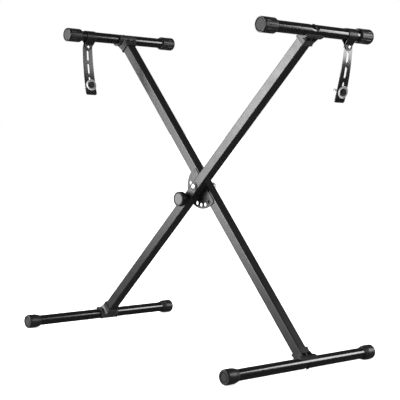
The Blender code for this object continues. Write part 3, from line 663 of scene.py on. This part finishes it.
# ---------------------------------------------------------------- pivot and lock plate
def make_pivot():
    """Pivot bolt, its two washers and the nut behind tube A."""
    facing = frame_facing(PIVOT, -DEPTH)
    front = TUBE_SIZE / 2 + GAP
    back = -((TUBE_Y["a"] - TUBE_Y["b"]) / MM + TUBE_SIZE / 2 + GAP)
    seat = front + 1.0 + GAP
    nut_height = 9.0
    nut_face = back - 1.4 - GAP
    thread_end = nut_face - nut_height - 3.0
    shank = threaded(PIVOT_RADIUS, thread_end, nut_face + 6.0, 1.25, 0.45)
    head = turned(rounded([
        (PIVOT_RADIUS - 0.5, nut_face + 4.0, 0.0), (PIVOT_RADIUS, nut_face + 5.2),
        (PIVOT_RADIUS, seat), (7.4, seat),
        (7.4, seat + 1.5, 0.5), (6.7, seat + 2.9, 0.8), (4.8, seat + 3.9, 1.0), (2.6, seat + 4.4, 0.6),
        (2.2, seat + 3.9), (0.5, seat + 3.8, 0.0)], 0.25, closed=False), MEDIUM)
    bolt = carve(head, [("UNION", shank)])
    show("pivot_bolt", to_mesh("pivot_bolt", bolt, "zinc"), facing)

    bore = PIVOT_RADIUS + GAP
    washer = rounded([(10.2, front), (10.2, front + 1.0), (bore, front + 1.0), (bore, front)], 0.35)
    show("pivot_washer_front", to_mesh("washer_front", turned(washer, FINE, closed=True), "plastic"),
         facing)
    washer = rounded([(10.0, back - 1.4), (10.0, back), (bore, back), (bore, back - 1.4)], 0.35)
    show("pivot_washer_back", to_mesh("washer_back", turned(washer, FINE, closed=True), "zinc"),
         facing)
    nut = to_mesh("pivot_nut", hex_nut(16.0, bore, nut_height), "zinc")
    nut_at = facing @ Matrix.Translation((0, 0, (nut_face - nut_height) * MM))
    show("pivot_nut", nut, nut_at, bevel=0.2)


def corner_curve(start, corner, end, steps=8):
    """Points of a round corner between two edges."""
    return [tuple((1 - t) ** 2 * s + 2 * t * (1 - t) * c + t * t * e for s, c, e in zip(start, corner, end))
            for t in (i / steps for i in range(steps + 1))]


def plate_outline():
    """A half disc to the left of tube A, in that tube's frame, as (x, z) pairs."""
    over = math.asin(PLATE_EDGE / PLATE_RADIUS)
    trim = PLATE_CORNER / PLATE_RADIUS
    first, last = trim - over, math.pi + over - trim
    arc = [(-PLATE_RADIUS * math.sin(a), PLATE_RADIUS * math.cos(a))
           for a in (first + (last - first) * i / FINE for i in range(FINE + 1))]
    top = PLATE_RADIUS * math.cos(over)
    upper = corner_curve((PLATE_EDGE, top - PLATE_CORNER), (PLATE_EDGE, top), arc[0])
    lower = corner_curve(arc[-1], (PLATE_EDGE, -top), (PLATE_EDGE, PLATE_CORNER - top))
    return upper + arc[1:-1] + lower


def make_lock_plate():
    """The pressed plate with its ring of holes, and its two rivets."""
    up = direction_of("top_left")
    tube_frame = frame_along(PIVOT + DEPTH * (TUBE_Y["a"] - TUBE_Y["b"]), up)
    # tube A's frame stands at that tube, so the plate lies in front of its own front face
    low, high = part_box("lock_plate")
    near, far = ((y - TUBE_Y["a"]) / MM for y in (low.y, high.y))
    blank = moved(prism(plate_outline(), -far, -near), LAY_FLAT)
    pin_place = middle("lock_pin") - PIVOT
    at_rest = math.atan2(-pin_place.dot(DEPTH.cross(up.normalized())), pin_place.dot(up.normalized()))
    cuts = [(PIVOT_RADIUS + GAP, 0.0, 0.0)]
    for step in HOLE_STEPS:
        a = at_rest + math.radians(step)
        cuts.append((HOLE_RADIUS, -HOLE_RING * math.sin(a), HOLE_RING * math.cos(a)))
    cuts += [(RIVET_RADIUS + GAP, x, z) for x, z in RIVET_PLACES.values()]
    drills = [("DIFFERENCE", moved(cylinder(radius, -30.0, 30.0, MEDIUM),
                                   Matrix.Translation((x, 0, z)) @ ALONG_Y)) for radius, x, z in cuts]
    plate = carve(blank, drills)
    show("lock_plate", to_mesh("lock_plate", plate, "powder_coat"), tube_frame, bevel=0.3)

    wall = -(TUBE_SIZE / 2) + TUBE_WALL + GAP                # inner face of tube A's front wall
    face = near + GAP / 3
    profile = rounded([
        (0.4, face + 0.1, 0.0), (1.8, face), (RIVET_RADIUS, face + 0.2), (RIVET_RADIUS, wall), (4.3, wall),
        (4.3, wall + 0.8, 0.5), (3.0, wall + 1.6), (0.4, wall + 1.7, 0.0)], 0.15, closed=False)
    rivet = to_mesh("plate_rivet", turned(profile, SMALL), "powder_coat")
    for end, (x, z) in RIVET_PLACES.items():
        world = tube_frame @ Matrix.Translation((x * MM, 0, z * MM)) @ ALONG_Y
        show("plate_rivet_" + end, rivet, world)


# ---------------------------------------------------------------- lock plunger
def make_plunger():
    """Housing on tube B, and the pin with its ribbed knob."""
    pin_place = middle("lock_pin")
    facing = frame_facing(Vector((pin_place.x, TUBE_Y["b"], pin_place.z)), -DEPTH)
    face = TUBE_SIZE / 2 + GAP
    housing = rounded([
        (PIN_BORE, 3.0), (BARREL_RADIUS, 3.0), (BARREL_RADIUS, face), (13.0, face), (13.0, face + 3.0),
        (12.4, face + 3.4), (12.4, face + 4.2), (11.6, face + 5.4, 0.6), (PIN_BORE, face + 5.4)], 0.35)
    show("lock_housing", to_mesh("lock_housing", turned(housing, FINE, closed=True), "plastic"),
         facing)
    tip = -TUBE_SIZE / 2
    pin = rounded([
        (0.5, tip, 0.0), (PIN_RADIUS - 0.8, tip), (PIN_RADIUS, tip + 0.9), (PIN_RADIUS, -8.4),
        (6.0, -8.4), (6.0, -7.0),
        (PIN_RADIUS, -7.0), (PIN_RADIUS, 33.5), (0.5, 33.5, 0.0)], 0.3, closed=False)
    show("lock_pin", to_mesh("lock_pin", turned(pin, MEDIUM), "zinc"), facing)
    back = 21.0
    knob = rounded([
        (PIN_BORE, 34.0, 0.0), (PIN_BORE, back), (12.5, back), (15.6, back + 0.6), (17.2, back + 1.6),
        (17.8, back + 3.0),
        (18.0, back + 5.0, 0.0), (18.0, back + 9.0, 0.0), (18.0, back + 12.4), (17.6, back + 14.2, 0.7),
        (16.6, back + 15.5, 0.7), (15.0, back + 15.5), (14.4, back + 13.9), (13.8, back + 13.9),
        (13.4, back + 14.7),
        (9.0, back + 14.8, 0.0), (1.0, back + 14.8, 0.0)], 0.3, closed=False)
    ribs = grooves(36, 0.6, 0.4)

    def wave(angle, radius, z):
        if radius < 16.9 or z > back + 14.0:
            return radius
        window = ease((z - back - 2.0) / 2.0) * ease((back + 13.2 - z) / 1.6)
        return radius + (ribs(angle, radius, z) - radius) * window

    def paint(at):
        reach = math.hypot(at.x, at.y)
        if at.z > back + 14.2 and reach < 13.5:
            return 1
        # finish 2 paints shade into the groove round the knob's grey disc
        return 2 if at.z > back + 13.5 and reach < 14.6 else 0
    mesh = to_mesh("lock_knob", turned(knob, KNOB_SIDES, wave=wave), "plastic", "grained_grey", "groove",
                   paint=paint)
    show("lock_knob", mesh, facing)


# ---------------------------------------------------------------- clips, straps, thumb screws
def clip_path(shift):
    """Middle line of a clip's sheet round the bar, as (x, z, width, middle y) from ear to ear."""
    band = BAR_RADIUS + GAP + CLIP_SHEET / 2
    ear = STRAP_THICK / 2 + GAP + CLIP_SHEET / 2
    knee = -21.0
    lift = math.atan2(knee, ear) + math.acos(band / math.hypot(ear, knee))
    half_end, end = 12.0, -35.5 + 12.0                       # the ear's end is a half circle
    side = []
    for i in range(1, 9):
        a = math.pi / 2 * (1 - i / 8)
        side.append((ear, end - half_end * math.sin(a), 2 * max(half_end * math.cos(a), 0.6), 0.4 * shift))
    side += [(ear, knee, 26.5, 0.7 * shift)]
    bend_steps = 4
    flank = (band * math.cos(lift), band * math.sin(lift))
    for i in range(1, bend_steps):
        t = i / bend_steps
        side.append((ear + (flank[0] - ear) * t, knee + (flank[1] - knee) * t,
                     26.5 + (CLIP_WIDTH - 26.5) * ease(t), (0.7 + 0.3 * t) * shift))
    sweep = math.pi / 2 - lift
    steps = 28
    angles = [lift + sweep * i / steps for i in range(steps + 1)]
    right = side + [(band * math.cos(a), band * math.sin(a), CLIP_WIDTH, shift) for a in angles]
    return right + [(-x, *rest) for x, *rest in reversed(right[:-1])]


def bent_sheet(path, thickness):
    """A sheet along a path of (x, z, width, middle y), with mitred bends."""
    points = [Vector((x, 0.0, z)) for x, z, _, _ in path]
    rings = []
    for i, (_, _, width, centre) in enumerate(path):
        before = (points[i] - points[i - 1]).normalized() if i else None
        after = (points[i + 1] - points[i]).normalized() if i + 1 < len(points) else None
        along = (before or after) + (after or before)
        along.normalize()
        mitre = 1.0 / max(along.dot(after or before), 0.5)
        out = DEPTH.cross(along) * (thickness / 2 * mitre)
        near, far = (points[i] + DEPTH * (centre + sign * width / 2) for sign in (-1, 1))
        rings.append([near + out, far + out, far - out, near - out])
    return loft(rings)


def strap_frame(down, side):
    """Local frame on the strap's middle line, down mm below its rivet: +Z out of its +X face."""
    bow = max(down - STRAP_STRAIGHT, 0.0) / STRAP_BOW
    sideways = STRAP_BOW * (1 - math.cos(bow))
    below = min(down, STRAP_STRAIGHT) + STRAP_BOW * math.sin(bow)
    here = Matrix.Translation((side * sideways, 0.0, -RIVET_DROP - below))
    return here @ Matrix.Rotation(-side * bow, 4, "Y") @ ALONG_X


def strap_half_width(down):
    """Half the strap's width: a round upper end, flaring sides and round lower corners."""
    end_radius, corner = 13.5, 5.0
    if down < 0:
        return math.sqrt(max(end_radius ** 2 - down ** 2, 0.0))
    side = (STRAP_WIDTH + STRAP_FLARE * down / STRAP_LENGTH) / 2
    left = STRAP_LENGTH - down
    if left < corner:
        return side - corner + math.sqrt(max(corner ** 2 - (corner - left) ** 2, 0.0))
    return min(end_radius + down / 3, side)


def strap(side):
    """The bowed strap with three slots and a rivet hole."""
    round_end = [-13.5 * math.cos(math.pi / 2 * i / 12) for i in range(12)]
    top = [-STRAP_TOP] + [d for d in round_end if d > -STRAP_TOP] + [0.0, 1.5, 3.0]
    straight_end = STRAP_LENGTH - 5.0
    body_steps = 44
    run = [3.0 + (straight_end - 3.0) * i / body_steps for i in range(1, body_steps + 1)]
    corner = [STRAP_LENGTH - 5.0 * (1 - math.sin(math.pi / 2 * i / 6)) for i in range(1, 7)]
    half_thick = STRAP_THICK / 2
    rings = []
    for down in top + run + corner:
        half = max(strap_half_width(down), 1.0)
        here = strap_frame(down, side)
        corners = ((-half, -half_thick), (half, -half_thick), (half, half_thick), (-half, half_thick))
        rings.append([here @ Vector((0.0, y, z)) for y, z in corners])
    cuts = [("DIFFERENCE", moved(cylinder(STRAP_RIVET + GAP, -10.0, 10.0), strap_frame(0.0, side)))]
    for centre in SLOT_CENTRES:
        reach = SLOT_LENGTH / 2 - SLOT_RADIUS
        half_circle = [math.pi * i / 14 for i in range(15)]
        outline = [(reach + SLOT_RADIUS * math.sin(a), SLOT_RADIUS * math.cos(a)) for a in half_circle]
        outline += [(-x, -y) for x, y in outline]
        cuts.append(("DIFFERENCE", moved(prism(outline, -6.0, 6.0), strap_frame(centre, side))))
    return to_mesh("strap", carve(loft(rings), cuts), "gloss_paint")


def cup_washer():
    """A pale round cup under the thumb screw."""
    face = STRAP_THICK / 2
    bore = SCREW_RADIUS + GAP
    return turned(rounded([
        (bore, face + 0.5), (12.8, face + 0.5), (13.8, face + 1.4, 0.6), (14.2, face + 5.7),
        (13.2, face + 5.7),
        (12.6, face + 2.8, 0.8), (10.8, face + 1.7), (bore, face + 1.9)], 0.3), FINE, closed=True)


def thumb_knob():
    """The ribbed round head of a thumb screw."""
    floor = STRAP_THICK / 2 + 2.3
    bore = SCREW_RADIUS + GAP
    ribs = grooves(18, 0.7, 0.5)
    profile = rounded([
        (bore, floor + 3.3, 0.0), (bore, floor), (7.2, floor), (8.1, floor + 0.5), (8.5, floor + 1.3),
        (8.5, floor + 2.4, 0.0), (8.5, floor + 3.6, 0.5), (7.8, floor + 4.6, 0.7), (6.4, floor + 4.8),
        (5.8, floor + 4.3), (1.0, floor + 4.3, 0.0)], 0.3, closed=False)

    def wave(angle, radius, z):
        if radius < 7.7:
            return radius
        return radius + (ribs(angle, radius, z) - radius) * ease((floor + 4.5 - z) / 1.4)
    return turned(profile, RIBBED, wave=wave)


def make_strap(which, side):
    """Clip, rivet, strap, cup, washer and thumb screw of one upper bar."""
    bar_axis = middle(f"top_bar_{which}")
    rivet_at = middle(which + "_strap_rivet")
    hang_point = Vector((bar_axis.x, rivet_at.y, bar_axis.z))
    hang = frame_along(hang_point, hang_point - rivet_at)
    ear_hole = moved(cylinder(STRAP_RIVET + GAP, -10.0, 10.0),
                     Matrix.Translation((0, 0, -RIVET_DROP)) @ ALONG_X)
    sheet = bent_sheet(clip_path(CLIP_SHIFTS[which]), CLIP_SHEET)
    clip = to_mesh("clip", carve(sheet, [("DIFFERENCE", ear_hole)]), "clip_paint")
    show(which + "_clip", clip, hang, bevel=0.2)

    ear_face = STRAP_THICK / 2 + GAP + CLIP_SHEET + GAP
    head = [(0.5, 0.8, 0.0), (1.3, 0.9), (2.0, 1.35), (3.2, 1.2, 0.4), (4.2, 0.5, 0.3), (4.2, 0.0),
            (2.5, 0.0)]
    profile = [(r, ear_face + z, *more) for r, z, *more in head]
    profile = [(r, -z, *more) for r, z, *more in profile] + profile[::-1]
    rivet = turned(rounded(profile, 0.15, closed=False), SMALL)
    rivet_world = hang @ Matrix.Translation((0, 0, -RIVET_DROP * MM)) @ ALONG_X
    show(which + "_strap_rivet", to_mesh("strap_rivet", rivet, "zinc"), rivet_world)
    show(which + "_strap", strap(side), hang, bevel=0.25)

    on_strap = strap_frame(SCREW_PLACE, side)
    on_strap.translation *= MM
    screw_at = hang @ on_strap
    face = STRAP_THICK / 2
    bore = SCREW_RADIUS + GAP
    washer = to_mesh("cup_washer", cup_washer(), "clear_plastic")
    show(which + "_cup_washer", washer, screw_at)
    ring = rounded([(6.2, -face - 1.6), (6.2, -face - 0.4), (bore, -face - 0.4), (bore, -face - 1.6)], 0.3)
    show(which + "_back_washer", to_mesh("back_washer", turned(ring, MEDIUM, closed=True), "zinc"),
         screw_at)
    screw = threaded(SCREW_RADIUS, -face - SCREW_REACH, face + 5.2, 0.8, 0.3)
    show(which + "_thumb_screw", to_mesh("thumb_screw", screw, "zinc"), screw_at)
    show(which + "_thumb_knob", to_mesh("thumb_knob", thumb_knob(), "plastic"), screw_at)


# ---------------------------------------------------------------- pieces inside the tubes
def finish_hidden_nodes():
    """The CAD nodes that stay get their slot's finish."""
    for node in [f"bar_nut_{name}" for name in BAR_TUBES] + [
            "pivot_sleeve_a", "pivot_sleeve_b", "lock_housing_nut"]:
        piece = frame["nodes"][node]
        if not piece.material_slots:
            piece.data.materials.append(None)
        for place in piece.material_slots:
            place.link = "OBJECT"
            place.material = FINISH["zinc"]


def make_spring():
    """The lock's spring, copied onto its own mesh; the real one shortens towards its fixed end as the knob is
    pulled.
    """
    cad = frame["nodes"]["lock_spring"]
    mesh = cad.data.copy()
    mesh.materials.clear()
    mesh.materials.append(FINISH["zinc"])
    piece = show("lock_spring", mesh, cad.matrix_world.copy())
    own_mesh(piece)


# ---------------------------------------------------------------- studio
def stage_mesh(name, body, colour, strength):
    """A matt, glowing piece of the studio that stays out of the paint's reflections."""
    mesh = bpy.data.meshes.new(name)
    body.to_mesh(mesh)
    body.free()
    material = bpy.data.materials.new(name)
    material.use_nodes = True
    shader = material.node_tree.nodes["Principled BSDF"]
    shader.inputs["Base Color"].default_value = (colour, colour, colour, 1.0)
    shader.inputs["Roughness"].default_value = 0.9
    shader.inputs["Specular IOR Level"].default_value = 0.0
    shader.inputs["Emission Color"].default_value = (1.0, 1.0, 1.0, 1.0)
    shader.inputs["Emission Strength"].default_value = strength
    mesh.materials.append(material)
    piece = bpy.data.objects.new(name, mesh)
    bpy.context.scene.collection.objects.link(piece)
    piece.visible_glossy = False


def make_floor():
    """A plain pale floor under the feet, and a white dome behind everything."""
    low, _ = cad_box
    size = 29.0
    floor = bmesh.new()
    corners = [(-size, -size), (size, -size), (size, size), (-size, size)]
    floor.faces.new([floor.verts.new((x, y, low.z - 0.0002)) for x, y in corners])
    stage_mesh("floor", floor, 0.86, 0.62)
    dome = bmesh.new()
    bmesh.ops.create_uvsphere(dome, u_segments=32, v_segments=16, radius=28.0)
    bmesh.ops.reverse_faces(dome, faces=dome.faces)
    stage_mesh("backdrop", dome, 0.0, 1.0)


def make_world():
    """The dim room that the paint and metal reflect round the soft boxes."""
    world = bpy.data.worlds.new("studio")
    bpy.context.scene.world = world
    world.use_nodes = True
    nodes, links = world.node_tree.nodes, world.node_tree.links
    background = nodes["Background"]
    place = nodes.new("ShaderNodeTexCoord")
    parts = nodes.new("ShaderNodeSeparateXYZ")
    ramp = nodes.new("ShaderNodeValToRGB")
    height = nodes.new("ShaderNodeMapRange")
    height.inputs["From Min"].default_value = -1.0
    height.inputs["From Max"].default_value = 1.0
    links.new(place.outputs["Generated"], parts.inputs["Vector"])
    links.new(parts.outputs["Z"], height.inputs["Value"])
    links.new(height.outputs["Result"], ramp.inputs["Fac"])
    links.new(ramp.outputs["Color"], background.inputs["Color"])
    # (height of the direction from -1 to 1, brightness)
    stops = ((-1.0, 0.14), (-0.20, 0.20), (0.10, 0.24), (0.45, 0.18), (1.0, 0.20))
    elements = ramp.color_ramp.elements
    while len(elements) < len(stops):
        elements.new(0.5)
    for element, (level, value) in zip(elements, stops):
        element.position = (level + 1) / 2
        element.color = (value, 0.98 * value, 0.96 * value, 1.0)
    background.inputs["Strength"].default_value = 0.45


def area_light(name, place, target, size, watts):
    """A soft box facing a target."""
    light = bpy.data.lights.new(name, "AREA")
    light.shape = "RECTANGLE"
    light.size, light.size_y = size
    light.energy = watts
    box = bpy.data.objects.new(name, light)
    bpy.context.scene.collection.objects.link(box)
    box.location = place
    box.rotation_mode = "QUATERNION"
    box.rotation_quaternion = (Vector(target) - Vector(place)).to_track_quat("-Z", "Y")


def make_lights():
    """A large soft box at the front left and a narrower one at the right back."""
    area_light("key", (-1.035, -1.5, 0.725), (-1.035, 0.0, 0.725), (1.17, 1.25), 98.0)
    area_light("side", (1.65, 1.95, 1.12), (0.0, 0.0, 0.6), (0.66, 1.15), 31.0)


def make_camera():
    """A long lens at the front right, a little above the pivot, with a slight roll."""
    azimuth, elevation, roll = (math.radians(angle) for angle in (48.33, 4.43, 2.25))
    back = Vector((math.sin(azimuth) * math.cos(elevation), -math.cos(azimuth) * math.cos(elevation),
                   math.sin(elevation)))
    right = Vector((math.cos(azimuth), math.sin(azimuth), 0.0))
    up = back.cross(right)
    columns = (math.cos(roll) * right + math.sin(roll) * up,
               math.cos(roll) * up - math.sin(roll) * right, back)
    turn = Matrix([[column[row] for column in columns] for row in range(3)]).to_4x4()
    data = bpy.data.cameras.new("camera")
    data.lens = 96.83
    data.sensor_width = 36.0
    camera = bpy.data.objects.new("camera", data)
    bpy.context.scene.collection.objects.link(camera)
    camera.matrix_world = Matrix.Translation((1.9415, -1.7207, 0.5515)) @ turn
    bpy.context.scene.camera = camera


make_tubes()
make_bars()
make_caps()
make_saddles()
make_pivot()
make_lock_plate()
make_plunger()
make_strap("left", 1)
make_strap("right", -1)
finish_hidden_nodes()
make_spring()
make_floor()
make_world()
make_lights()
make_camera()
bpy.context.scene.view_settings.view_transform = "Standard"
